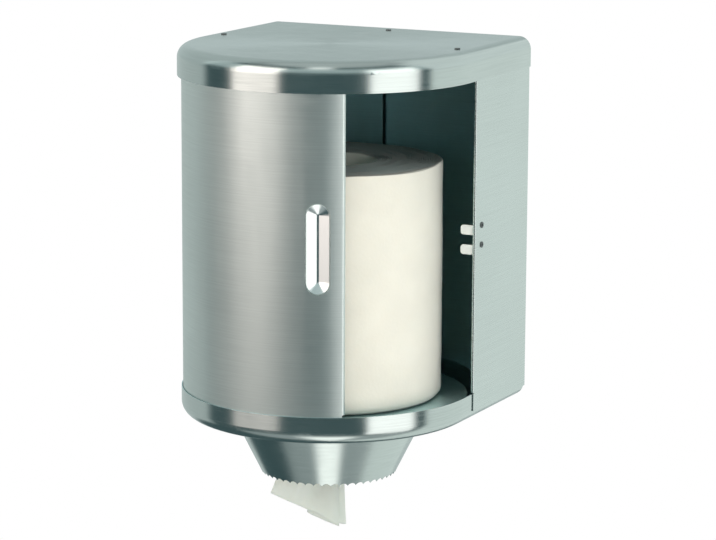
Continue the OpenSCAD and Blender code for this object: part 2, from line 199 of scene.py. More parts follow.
def brushed_grain():
    """Fine lines round the roll's axis on upright faces, and straight across on level ones"""
    name = "brushed_grain"
    if name in bpy.data.node_groups:
        return bpy.data.node_groups[name]
    g, gin, gout = new_group(
        name,
        [("Lines per metre", "NodeSocketFloat", 900.0), ("Streak length", "NodeSocketFloat", 14.0)],
        [("Streak", "NodeSocketFloat"), ("Fine", "NodeSocketFloat")])
    n, k = g.nodes, g.links
    co = n.new("ShaderNodeTexCoord")
    xyz = n.new("ShaderNodeSeparateXYZ")
    k.new(co.outputs["Object"], xyz.inputs[0])
    depth = math_node(g, "SUBTRACT", xyz.outputs["Y"], AXIS_Y)
    angle = math_node(g, "ARCTAN2", xyz.outputs["X"], math_node(g, "MULTIPLY", depth, -1.0))
    geo = n.new("ShaderNodeNewGeometry")
    nrm = n.new("ShaderNodeSeparateXYZ")
    k.new(geo.outputs["Normal"], nrm.inputs[0])
    level = math_node(g, "GREATER_THAN", math_node(g, "ABSOLUTE", nrm.outputs["Z"]), 0.9)
    along_round = math_node(g, "MULTIPLY", angle, GRAIN_R)
    along = n.new("ShaderNodeMix")
    k.new(level, along.inputs["Factor"])
    k.new(along_round, along.inputs["A"])
    k.new(xyz.outputs["X"], along.inputs["B"])
    across = n.new("ShaderNodeMix")
    k.new(level, across.inputs["Factor"])
    k.new(xyz.outputs["Z"], across.inputs["A"])
    k.new(xyz.outputs["Y"], across.inputs["B"])
    u = math_node(g, "MULTIPLY", along.outputs["Result"], gin.outputs["Streak length"])
    v = math_node(g, "MULTIPLY", across.outputs["Result"], gin.outputs["Lines per metre"])
    vec = n.new("ShaderNodeCombineXYZ")
    k.new(u, vec.inputs["X"])
    k.new(v, vec.inputs["Y"])
    lines = n.new("ShaderNodeTexNoise")
    lines.inputs["Scale"].default_value = 1.0
    lines.inputs["Detail"].default_value = 3.0
    lines.inputs["Roughness"].default_value = 0.65
    k.new(vec.outputs[0], lines.inputs["Vector"])
    fine = n.new("ShaderNodeTexNoise")
    fine.inputs["Scale"].default_value = 2.7
    fine.inputs["Detail"].default_value = 2.0
    k.new(vec.outputs[0], fine.inputs["Vector"])
    k.new(lines.outputs["Fac"], gout.inputs["Streak"])
    k.new(fine.outputs["Fac"], gout.inputs["Fine"])
    return g


def handling_marks():
    """Slow cloudy change that handled sheet shows, and faint upright wipe marks"""
    name = "handling_marks"
    if name in bpy.data.node_groups:
        return bpy.data.node_groups[name]
    g, gin, gout = new_group(
        name, [("Size", "NodeSocketFloat", 9.0)], [("Cloud", "NodeSocketFloat"), ("Wipe", "NodeSocketFloat")])
    n, k = g.nodes, g.links
    co = n.new("ShaderNodeTexCoord")
    cloud = n.new("ShaderNodeTexNoise")
    cloud.inputs["Detail"].default_value = 4.0
    k.new(co.outputs["Object"], cloud.inputs["Vector"])
    k.new(gin.outputs["Size"], cloud.inputs["Scale"])
    turn = n.new("ShaderNodeMapping")
    turn.inputs["Scale"].default_value = (1.0, 1.0, 0.16)
    k.new(co.outputs["Object"], turn.inputs["Vector"])
    wipe = n.new("ShaderNodeTexNoise")
    wipe.inputs["Scale"].default_value = 42.0
    wipe.inputs["Detail"].default_value = 2.0
    k.new(turn.outputs[0], wipe.inputs["Vector"])
    k.new(cloud.outputs["Fac"], gout.inputs["Cloud"])
    k.new(wipe.outputs["Fac"], gout.inputs["Wipe"])
    return g


def tissue_fibres():
    """Embossed dots and stray fibres of soft tissue"""
    name = "tissue_fibres"
    if name in bpy.data.node_groups:
        return bpy.data.node_groups[name]
    g, gin, gout = new_group(
        name, [("Dots per metre", "NodeSocketFloat", 330.0)],
        [("Relief", "NodeSocketFloat"), ("Mottle", "NodeSocketFloat")])
    n, k = g.nodes, g.links
    co = n.new("ShaderNodeTexCoord")
    dots = n.new("ShaderNodeTexVoronoi")
    k.new(co.outputs["Object"], dots.inputs["Vector"])
    k.new(gin.outputs["Dots per metre"], dots.inputs["Scale"])
    crepe = n.new("ShaderNodeTexNoise")
    crepe.inputs["Scale"].default_value = 900.0
    crepe.inputs["Detail"].default_value = 3.0
    k.new(co.outputs["Object"], crepe.inputs["Vector"])
    mottle = n.new("ShaderNodeTexNoise")
    mottle.inputs["Scale"].default_value = 24.0
    mottle.inputs["Detail"].default_value = 5.0
    k.new(co.outputs["Object"], mottle.inputs["Vector"])
    relief = math_node(g, "ADD", math_node(g, "MULTIPLY", dots.outputs["Distance"], 0.7),
                       math_node(g, "MULTIPLY", crepe.outputs["Fac"], 0.5))
    k.new(relief, gout.inputs["Relief"])
    k.new(mottle.outputs["Fac"], gout.inputs["Mottle"])
    return g


def fresh_material(name):
    """New node material with its shader; gives material, tree and Principled node"""
    m = bpy.data.materials.new(name)
    m.use_nodes = True
    t = m.node_tree
    return m, t, t.nodes["Principled BSDF"]


def place_group(tree, group, **values):
    """Group node in a material with its inputs set"""
    n = tree.nodes.new("ShaderNodeGroup")
    n.node_tree = group
    for label, value in values.items():
        n.inputs[label.replace("_", " ")].default_value = value
    return n


def ranged(tree, value, low, high):
    """Stretches a 0.3 to 0.7 noise value to a chosen range"""
    n = tree.nodes.new("ShaderNodeMapRange")
    tree.links.new(value, n.inputs["Value"])
    n.inputs["From Min"].default_value = 0.3
    n.inputs["From Max"].default_value = 0.7
    n.inputs["To Min"].default_value = low
    n.inputs["To Max"].default_value = high
    return n.outputs["Result"]


def shaded_colour(tree, colour, value):
    """Colour times a value"""
    n = tree.nodes.new("ShaderNodeVectorMath")
    n.operation = "SCALE"
    n.inputs[0].default_value = colour
    tree.links.new(value, n.inputs["Scale"])
    return n.outputs[0]


def grain_tangent(tree, flat, upright):
    """Direction across the grain, along which a reflection is drawn out"""
    n, k = tree.nodes, tree.links
    if flat:
        steep = n.new("ShaderNodeCombineXYZ")
        steep.inputs["Y"].default_value = 0.3
        steep.inputs["Z"].default_value = 0.95
        return steep.outputs[0]
    geo = n.new("ShaderNodeNewGeometry")
    co = n.new("ShaderNodeTexCoord")
    out = n.new("ShaderNodeVectorMath")
    out.operation = "SUBTRACT"
    k.new(co.outputs["Object"], out.inputs[0])
    out.inputs[1].default_value = (0.0, AXIS_Y, 0.0)
    ring = n.new("ShaderNodeVectorMath")
    ring.operation = "CROSS_PRODUCT"
    ring.inputs[0].default_value = (0.0, 0.0, 1.0)
    k.new(out.outputs[0], ring.inputs[1])
    if upright:
        return ring.outputs[0]
    cross = n.new("ShaderNodeVectorMath")
    cross.operation = "CROSS_PRODUCT"
    k.new(geo.outputs["Normal"], cross.inputs[0])
    k.new(ring.outputs[0], cross.inputs[1])
    unit = n.new("ShaderNodeVectorMath")
    unit.operation = "NORMALIZE"
    k.new(cross.outputs[0], unit.inputs[0])
    return unit.outputs[0]


def edge_bend(tree):
    """Height of the door's sheet where it draws in towards its free edge"""
    co = tree.nodes.new("ShaderNodeTexCoord")
    xyz = tree.nodes.new("ShaderNodeSeparateXYZ")
    tree.links.new(co.outputs["Object"], xyz.inputs[0])
    depth = math_node(tree, "SUBTRACT", AXIS_Y, xyz.outputs["Y"])
    angle = math_node(tree, "ARCTAN2", xyz.outputs["X"], depth)
    past = math_node(tree, "MULTIPLY", math_node(tree, "SUBTRACT", angle, math.radians(BEND_FROM)), DOOR_R)
    past = math_node(tree, "MAXIMUM", past, 0.0)
    return math_node(tree, "MULTIPLY", math_node(tree, "MULTIPLY", past, past), -BEND_RATE)


def inner_side(tree):
    """1 on faces that look into the housing, 0 on those that look out"""
    geo = tree.nodes.new("ShaderNodeNewGeometry")
    co = tree.nodes.new("ShaderNodeTexCoord")
    out = tree.nodes.new("ShaderNodeVectorMath")
    out.operation = "SUBTRACT"
    tree.links.new(co.outputs["Object"], out.inputs[0])
    out.inputs[1].default_value = (0.0, AXIS_Y, 0.0)
    dot = tree.nodes.new("ShaderNodeVectorMath")
    dot.operation = "DOT_PRODUCT"
    tree.links.new(geo.outputs["Normal"], dot.inputs[0])
    tree.links.new(out.outputs[0], dot.inputs[1])
    return math_node(tree, "LESS_THAN", dot.outputs["Value"], INWARD)


def satin_steel(name, settings, flat=False, rough=0.0, stretch=0.75, light=1.0, upright=False, bend=False):
    """Satin sheet brushed along its length, with a dull mill finish inside whose blue-green colour is painted
    reflection and shade
    """
    m, t, p = fresh_material(name)
    k = t.links
    grain = place_group(t, brushed_grain(), Lines_per_metre=1.0 / settings.grain_pitch, Streak_length=14.0)
    marks = place_group(t, handling_marks(), Size=9.0)
    tone = math_node(t, "MULTIPLY", ranged(t, grain.outputs["Streak"], 0.95, 1.04),
                     ranged(t, marks.outputs["Cloud"], 0.97, 1.03))
    inside = inner_side(t)
    # Inner faces take the mill colour, whose blue-green tint and level are painted reflection and painted shade;
    # light above 1 makes the outer colour lighter as painted light
    face = t.nodes.new("ShaderNodeMix")
    face.data_type = "RGBA"
    k.new(inside, face.inputs["Factor"])
    k.new(shaded_colour(t, tuple(c * light for c in settings.satin_colour), tone), face.inputs["A"])
    k.new(shaded_colour(t, tuple(settings.mill_and_painted_reflection_colour), tone), face.inputs["B"])
    k.new(face.outputs["Result"], p.inputs["Base Color"])
    base = settings.satin_roughness + rough
    haze = math_node(t, "ADD", ranged(t, grain.outputs["Fine"], base - 0.04, base + 0.05),
                     ranged(t, marks.outputs["Wipe"], -0.02, 0.03))
    dull = math_node(t, "MULTIPLY", inside, settings.mill_dullness)
    k.new(math_node(t, "ADD", haze, dull, clamp=True), p.inputs["Roughness"])
    p.inputs["Metallic"].default_value = 1.0
    p.inputs["Anisotropic"].default_value = stretch
    k.new(grain_tangent(t, flat, upright), p.inputs["Tangent"])
    bump = t.nodes.new("ShaderNodeBump")
    bump.inputs["Strength"].default_value = 1.0
    bump.inputs["Distance"].default_value = 1.0
    height = math_node(t, "MULTIPLY", grain.outputs["Fine"], 0.000012)
    if bend:
        height = math_node(t, "ADD", height, edge_bend(t))
    k.new(height, bump.inputs["Height"])
    k.new(bump.outputs[0], p.inputs["Normal"])
    return m


def trough_walls(tree):
    """Height that draws the pull's round trough into two straight walls with a narrow floor"""
    co = tree.nodes.new("ShaderNodeTexCoord")
    xyz = tree.nodes.new("ShaderNodeSeparateXYZ")
    tree.links.new(co.outputs["Object"], xyz.inputs[0])
    depth = math_node(tree, "SUBTRACT", xyz.outputs["Y"], AXIS_Y)
    side = math_node(tree, "ADD", math_node(tree, "MULTIPLY", xyz.outputs["X"], math.cos(PULL_AT)),
                     math_node(tree, "MULTIPLY", depth, math.sin(PULL_AT)))
    end = math_node(tree, "SUBTRACT", math_node(tree, "ABSOLUTE",
                    math_node(tree, "SUBTRACT", xyz.outputs["Z"], PULL_MID)), PULL_STRAIGHT)
    end = math_node(tree, "MAXIMUM", end, 0.0)
    far = math_node(tree, "ADD", math_node(tree, "MULTIPLY", side, side), math_node(tree, "MULTIPLY", end, end))
    wall = math_node(tree, "SQRT", math_node(tree, "ADD", far, PULL_FLOOR ** 2))
    arc = math_node(tree, "SQRT", math_node(tree, "MAXIMUM", math_node(tree, "SUBTRACT", PULL_R ** 2, far), 0.0))
    return math_node(tree, "ADD", math_node(tree, "MULTIPLY", wall, PULL_SLOPE), arc)


def bright_steel(name, settings, rough=0.16, trough=False):
    """Polished steel with faint handling haze"""
    m, t, p = fresh_material(name)
    if trough:
        bump = t.nodes.new("ShaderNodeBump")
        bump.inputs["Strength"].default_value = 1.0
        bump.inputs["Distance"].default_value = 1.0
        t.links.new(trough_walls(t), bump.inputs["Height"])
        t.links.new(bump.outputs[0], p.inputs["Normal"])
    marks = place_group(t, handling_marks(), Size=40.0)
    t.links.new(ranged(t, marks.outputs["Cloud"], rough, rough + 0.06), p.inputs["Roughness"])
    t.links.new(shaded_colour(t, tuple(settings.bright_colour), ranged(t, marks.outputs["Wipe"], 0.95, 1.03)),
                p.inputs["Base Color"])
    p.inputs["Metallic"].default_value = 1.0
    return m


def dark_recess(name):
    """Fastener head whose dark colour is painted shade in its hollow"""
    m, t, p = fresh_material(name)
    marks = place_group(t, handling_marks(), Size=60.0)
    # Near-black colour: painted shade of the hollow the head sits in
    t.links.new(shaded_colour(t, (0.12, 0.13, 0.13), ranged(t, marks.outputs["Cloud"], 0.7, 1.3)),
                p.inputs["Base Color"])
    t.links.new(ranged(t, marks.outputs["Wipe"], 0.45, 0.6), p.inputs["Roughness"])
    p.inputs["Metallic"].default_value = 0.6
    return m


def moulded_nylon(name, settings):
    """White nylon with a soft moulded skin"""
    m, t, p = fresh_material(name)
    marks = place_group(t, handling_marks(), Size=55.0)
    t.links.new(shaded_colour(t, tuple(settings.colour), ranged(t, marks.outputs["Cloud"], 0.97, 1.02)),
                p.inputs["Base Color"])
    t.links.new(ranged(t, marks.outputs["Wipe"], 0.38, 0.5), p.inputs["Roughness"])
    p.inputs["Subsurface Weight"].default_value = 0.1
    p.inputs["Subsurface Radius"].default_value = (0.003, 0.003, 0.003)
    skin = t.nodes.new("ShaderNodeTexNoise")
    skin.inputs["Scale"].default_value = 1400.0
    co = t.nodes.new("ShaderNodeTexCoord")
    t.links.new(co.outputs["Object"], skin.inputs["Vector"])
    bump = t.nodes.new("ShaderNodeBump")
    bump.inputs["Strength"].default_value = 0.08
    bump.inputs["Distance"].default_value = 0.0002
    t.links.new(skin.outputs["Fac"], bump.inputs["Height"])
    t.links.new(bump.outputs[0], p.inputs["Normal"])
    return m


def tissue(name, settings, through=0.0, painted_light_tint=(1.0, 1.0, 1.0), painted_end_shade=1.0):
    """Soft tissue; through is the share of light that passes, ends darkens faces that look up or down as painted
    shade on a wound end, tint tints the colour as painted light
    """
    m, t, p = fresh_material(name)
    k = t.links
    fibres = place_group(t, tissue_fibres(), Dots_per_metre=330.0)
    # The colour is multiplied per channel by the given factors: painted shade on the windings and a painted
    # light cast on the tail
    colour = tuple(c * f for c, f in zip(settings.colour, painted_light_tint))
    tone = ranged(t, fibres.outputs["Mottle"], 0.96, 1.03)
    if painted_end_shade < 1.0:
        geo = t.nodes.new("ShaderNodeNewGeometry")
        way = t.nodes.new("ShaderNodeSeparateXYZ")
        k.new(geo.outputs["Normal"], way.inputs[0])
        # Faces that look up or down are darkened to the given end tone: painted shade on the roll's wound ends
        end = t.nodes.new("ShaderNodeMapRange")
        k.new(math_node(t, "ABSOLUTE", way.outputs["Z"]), end.inputs["Value"])
        end.inputs["From Min"].default_value = 0.6
        end.inputs["From Max"].default_value = 0.9
        end.inputs["To Min"].default_value = 1.0
        end.inputs["To Max"].default_value = painted_end_shade
        tone = math_node(t, "MULTIPLY", tone, end.outputs["Result"])
    k.new(shaded_colour(t, colour, tone), p.inputs["Base Color"])
    p.inputs["Roughness"].default_value = 0.92
    p.inputs["Specular IOR Level"].default_value = 0.2
    p.inputs["Sheen Weight"].default_value = 0.15
    p.inputs["Subsurface Weight"].default_value = 0.25
    p.inputs["Subsurface Radius"].default_value = (0.004, 0.0035, 0.003)
    if through:
        p.inputs["Alpha"].default_value = 1.0 - through
    bump = t.nodes.new("ShaderNodeBump")
    bump.inputs["Strength"].default_value = 0.25
    bump.inputs["Distance"].default_value = 0.0004
    k.new(fibres.outputs["Relief"], bump.inputs["Height"])
    k.new(bump.outputs[0], p.inputs["Normal"])
    return m


# Mesh helpers


def clothe(node, material):
    """Gives a CAD node its finish"""
    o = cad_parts[node]
    o = bpy.data.objects[o] if isinstance(o, str) else o
    o.data.materials.clear()
    o.data.materials.append(material)


def new_piece(name, bm, material, body):
    """Turns a bmesh into a finished piece on a body"""
    mesh = bpy.data.meshes.new(name)
    bmesh.ops.recalc_face_normals(bm, faces=bm.faces)
    bm.to_mesh(mesh)
    bm.free()
    for f in mesh.polygons:
        f.use_smooth = True
    mesh.materials.append(material)
    o = bpy.data.objects.new(name, mesh)
    bpy.context.collection.objects.link(o)
    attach(o, body)
    return o


def catmull(points, t):
    """Point on a smooth curve through the points, t from 0 to 1"""
    n = len(points) - 1
    x = min(max(t, 0.0), 1.0) * n
    i = min(int(x), n - 1)
    f = x - i
    p0, p1, p2, p3 = (points[min(max(j, 0), n)] for j in (i - 1, i, i + 1, i + 2))
    return tuple(
        0.5 * (2 * b + (c - a) * f + (2 * a - 5 * b + 4 * c - d) * f * f + (3 * b - a - 3 * c + d) * f ** 3)
        for a, b, c, d in zip(p0, p1, p2, p3))


# Operators


class DISPENSER_OT_camera(bpy.types.Operator):
    """Place the camera at the photograph's viewing angle"""

    bl_idname = "dispenser.camera"
    bl_label = "Camera"

    def execute(self, context):
        az, el, roll, far = math.radians(26.62), math.radians(11.1), math.radians(0.27), 2.54
        target = Vector((0.02765, AXIS_Y, -0.0336))
        back = Vector((math.sin(az) * math.cos(el), -math.cos(az) * math.cos(el), math.sin(el)))
        right = (-back).cross(Vector((0, 0, 1))).normalized()
        up = right.cross(-back)
        r2 = right * math.cos(roll) + up * math.sin(roll)
        u2 = up * math.cos(roll) - right * math.sin(roll)
        turn = Matrix((r2, u2, back)).transposed().to_4x4()
        data = bpy.data.cameras.new("camera")
        data.sensor_width = 36.0
        data.lens = 2960.0 / 716.0 * 36.0
        data.clip_end = 50.0
        cam = bpy.data.objects.new("camera", data)
        cam.matrix_world = Matrix.Translation(target + back * far) @ turn
        context.collection.objects.link(cam)
        context.scene.camera = cam
        return {"FINISHED"}


class DISPENSER_OT_stage(bpy.types.Operator):
    """Make the floor, the surrounding light and the lamps"""

    bl_idname = "dispenser.stage"
    bl_label = "Studio"

    def execute(self, context):
        s = context.scene.dispenser_studio
        context.scene.view_settings.view_transform = "Standard"
        self.surroundings(context.scene, s)
        self.floor(context, s)
        self.lamps(context, s)
        return {"FINISHED"}

    def surroundings(self, scene, s):
        """World: white to the camera; softboxes, walls and a light patch below in the steel"""
        w = bpy.data.worlds.new("studio")
        scene.world = w
        w.use_nodes = True
        t = w.node_tree
        t.nodes.clear()
        n, k = t.nodes, t.links
        co = n.new("ShaderNodeTexCoord")
        xyz = n.new("ShaderNodeSeparateXYZ")
        k.new(co.outputs["Generated"], xyz.inputs[0])
        az = math_node(t, "ARCTAN2", xyz.outputs["X"], math_node(t, "MULTIPLY", xyz.outputs["Y"], -1.0))
        az = math_node(t, "MULTIPLY", az, 180.0 / math.pi)
        el = math_node(t, "MULTIPLY", math_node(t, "ARCSINE", xyz.outputs["Z"]), 180.0 / math.pi)
        boxes = [
            (band(t, az, -51, -12, 4), band(t, el, -11, 42, 6), (1.0, 0.88, 0.83), 0.93 * s.softbox),
            (band(t, az, 57, 97, 3), band(t, el, -32, 34, 4), (1.0, 0.98, 0.96), 0.74 * s.softbox),
            (band(t, az, 4, 30, 7), band(t, el, 46, 66, 6), (1.0, 1.0, 0.98), 0.5 * s.softbox),
            (band(t, az, 108, 262, 4), band(t, el, -200, 0, 5), (0.94, 1.0, 0.96), 0.82),
            (band(t, az, -262, -80, 5), band(t, el, -29, 0, 4), (0.94, 1.0, 0.97), 0.5),
            (band(t, az, 108, 262, 4), band(t, el, 0, 60, 5), (0.94, 1.0, 0.98), 0.8),
            (band(t, az, -262, -80, 5), band(t, el, 0, 60, 5), (0.92, 1.0, 0.98), 0.5),
            (band(t, az, -85, 108, 5), band(t, el, 14, 46, 7), (0.86, 1.0, 0.99), 0.5),
            (None, band(t, el, 62, 200, 8), (0.95, 1.0, 0.98), 0.5),
            (band(t, az, -60, 108, 6), band(t, el, -200, -38, 8), (0.95, 1.0, 0.98), 0.34),
            (band(t, az, -2, 54, 10), band(t, el, -200, -48, 6), (1.0, 0.99, 0.95), 1.2),
        ]
        total = None
        for across, high, colour, level in boxes:
            mask = high if across is None else math_node(t, "MULTIPLY", across, high)
            part = n.new("ShaderNodeVectorMath")
            part.operation = "SCALE"
            part.inputs[0].default_value = tuple(c * level for c in colour)
            k.new(mask, part.inputs["Scale"])
            if total is None:
                total = part.outputs[0]
                continue
            add = n.new("ShaderNodeVectorMath")
            add.operation = "ADD"
            k.new(total, add.inputs[0])
            k.new(part.outputs[0], add.inputs[1])
            total = add.outputs[0]
        base = n.new("ShaderNodeVectorMath")
        base.operation = "ADD"
        base.inputs[1].default_value = ROOM_COLOUR
        k.new(total, base.inputs[0])
        room = n.new("ShaderNodeBackground")
        k.new(base.outputs[0], room.inputs["Color"])
        white = n.new("ShaderNodeBackground")
        white.inputs["Color"].default_value = (1, 1, 1, 1)
        rays = n.new("ShaderNodeLightPath")
        seen = math_node(t, "MAXIMUM", rays.outputs["Is Camera Ray"], rays.outputs["Is Transmission Ray"])
        mix = n.new("ShaderNodeMixShader")
        k.new(seen, mix.inputs[0])
        k.new(room.outputs[0], mix.inputs[1])
        k.new(white.outputs[0], mix.inputs[2])
        out = n.new("ShaderNodeOutputWorld")
        k.new(mix.outputs[0], out.inputs["Surface"])

    def floor(self, context, s):
        """Pale floor well below the hung object, not mirrored in the steel"""
        bm = bmesh.new()
        bmesh.ops.create_circle(bm, cap_ends=True, segments=96, radius=FLOOR_R)
        mesh = bpy.data.meshes.new("floor")
        bm.to_mesh(mesh)
        bm.free()
        o = bpy.data.objects.new("floor", mesh)
        o.location = (0, AXIS_Y, TAIL_LOW.z - s.floor_drop)
        o.visible_glossy = False
        context.collection.objects.link(o)
        m, t, p = fresh_material("pale_floor")
        p.inputs["Base Color"].default_value = FLOOR_COLOUR
        p.inputs["Roughness"].default_value = 0.9
        glow = t.nodes.new("ShaderNodeEmission")
        glow.inputs["Color"].default_value = (1, 1, 1, 1)
        rays = t.nodes.new("ShaderNodeLightPath")
        mix = t.nodes.new("ShaderNodeMixShader")
        seen = math_node(t, "MAXIMUM", rays.outputs["Is Camera Ray"], rays.outputs["Is Transmission Ray"])
        t.links.new(seen, mix.inputs[0])
        t.links.new(p.outputs[0], mix.inputs[1])
        t.links.new(glow.outputs[0], mix.inputs[2])
        t.links.new(mix.outputs[0], t.nodes["Material Output"].inputs["Surface"])
        mesh.materials.append(m)

    def lamps(self, context, s):
        """Soft key at the front right, soft top light over the front"""
        lamps = (("key", 38, -5, 1.0, s.key_power), ("top", 18, 62, 0.8, s.top_power))
        for name, az, el, size, power in lamps:
            data = bpy.data.lights.new(name, "AREA")
            data.shape = "SQUARE"
            data.size = size
            data.energy = power
            data.color = LAMP_COLOUR
            lamp = bpy.data.objects.new(name, data)
            a, e = math.radians(az), math.radians(el)
            way = Vector((math.sin(a) * math.cos(e), -math.cos(a) * math.cos(e), math.sin(e)))
            lamp.location = Vector((0, AXIS_Y, 0)) + way * LAMP_FAR
            lamp.rotation_mode = "QUATERNION"
            lamp.rotation_quaternion = way.to_track_quat("Z", "Y")
            lamp.visible_glossy = False
            context.collection.objects.link(lamp)


class DISPENSER_OT_satin_sheet(bpy.types.Operator):
    """Give cap, shell, tray, cone, tracks and door their satin steel"""

    bl_idname = "dispenser.satin_sheet"
    bl_label = "Satin sheet"

    def execute(self, context):
        s = context.scene.dispenser_steel
        round_sheet = satin_steel("satin_round", s)
        # light=1.05 makes this flat sheet a little lighter than the same steel elsewhere: painted light
        flat_sheet = satin_steel("satin_flat", s, flat=True, rough=-0.08, light=1.05)
        for node in SATIN_ROUND:
            clothe(node, round_sheet)
        for node in SATIN_FLAT:
            clothe(node, flat_sheet)
        # light=1.3 makes the door's steel 1.3 times lighter than the same steel elsewhere: painted light
        door_sheet = satin_steel("satin_door", s, rough=0.02, stretch=0.7, light=1.3, upright=True, bend=True)
        clothe("door_panel", door_sheet)
        pressed = satin_steel("satin_pressed", s, rough=-0.13)
        for node in PRESSED:
            clothe(node, pressed)
        return {"FINISHED"}


class DISPENSER_OT_bright_parts(bpy.types.Operator):
    """Give pull, nuts and rivets their polished steel and the small heads a dark colour that is painted shade"""

    bl_idname = "dispenser.bright_parts"
    bl_label = "Bright parts"

    def execute(self, context):
        s = context.scene.dispenser_steel
        bright = bright_steel("bright_steel", s)
        for node in BRIGHT:
            clothe(node, bright)
        clothe("door_pull", bright_steel("bright_pull", s, trough=True))
        dark = dark_recess("dark_heads")
        for node in ("cap_screws", "catch_rivets"):
            clothe(node, dark)
        return {"FINISHED"}


class DISPENSER_OT_nylon_parts(bpy.types.Operator):
    """Give catch tongues and glides their white nylon"""

    bl_idname = "dispenser.nylon_parts"
    bl_label = "Nylon parts"

    def execute(self, context):
        m = moulded_nylon("white_nylon", context.scene.dispenser_nylon)
        for node in NYLON:
            clothe(node, m)
        return {"FINISHED"}


class DISPENSER_OT_paper_roll(bpy.types.Operator):
    """Make the soft paper roll in place of its plain solid"""

    bl_idname = "dispenser.paper_roll"
    bl_label = "Paper roll"

    def execute(self, context):
        s = context.scene.dispenser_paper
        low, high = ROLL_LOW.z, ROLL_HIGH.z
        edge, foot = 0.002, 0.007
        profile = [(BORE_R, low + 0.001), (BORE_R, low + 0.05), (BORE_R, high - 0.05), (BORE_R, high - 0.003)]
        profile += [(BORE_R + 0.0015, high - 0.0005)]
        profile += [(BORE_R + (ROLL_R - edge - BORE_R) * i / 14, high - 0.0004) for i in range(1, 14)]
        profile += [(ROLL_R - edge + edge * math.sin(a), high - edge + edge * math.cos(a))
                    for a in (math.radians(d) for d in range(10, 91, 10))]
        profile += [(ROLL_R, high - edge - (high - low - edge - foot) * i / 40) for i in range(1, 41)]
        profile += [(ROLL_R - foot + foot * math.cos(a), low + foot - foot * math.sin(a))
                    for a in (math.radians(d) for d in range(10, 91, 10))]
        profile += [(BORE_R + 0.01, low)]
        turns = 168
        bm = bmesh.new()
        rows = []
        for i in range(turns):
            a = 2 * math.pi * i / turns
            way = Vector((math.sin(a), -math.cos(a), 0))
            row = []
            for r, z in profile:
                here = way * r + Vector((0, 0, z))
                outer = max(0.0, (r - 0.07) / (ROLL_R - 0.07))
                soft = noise.noise(here * 16.0) * 0.6 + noise.noise(here * 45.0) * 0.3 + 0.1
                r2 = r - s.dent * outer * max(-0.25, soft)
                top = max(0.0, 1.0 - (high - z) / 0.004)
                z2 = z - top * 0.0012 * max(0.0, 0.6 + noise.noise(Vector((way.x * 2, way.y * 2, r * 300))))
                row.append(bm.verts.new((way.x * r2, AXIS_Y + way.y * r2, z2)))
            rows.append(row)
        count = len(profile)
        for i in range(turns):
            for j in range(count):
                a, b = rows[i], rows[(i + 1) % turns]
                bm.faces.new((a[j], b[j], b[(j + 1) % count], a[(j + 1) % count]))
        # The roll's upper and lower ends are darkened to about a third of the paper's colour: painted shade
        piece = new_piece("roll_paper", bm, tissue("tissue_roll", s, painted_end_shade=0.32), "roll")
        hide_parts("paper_roll")
        return {"FINISHED"}


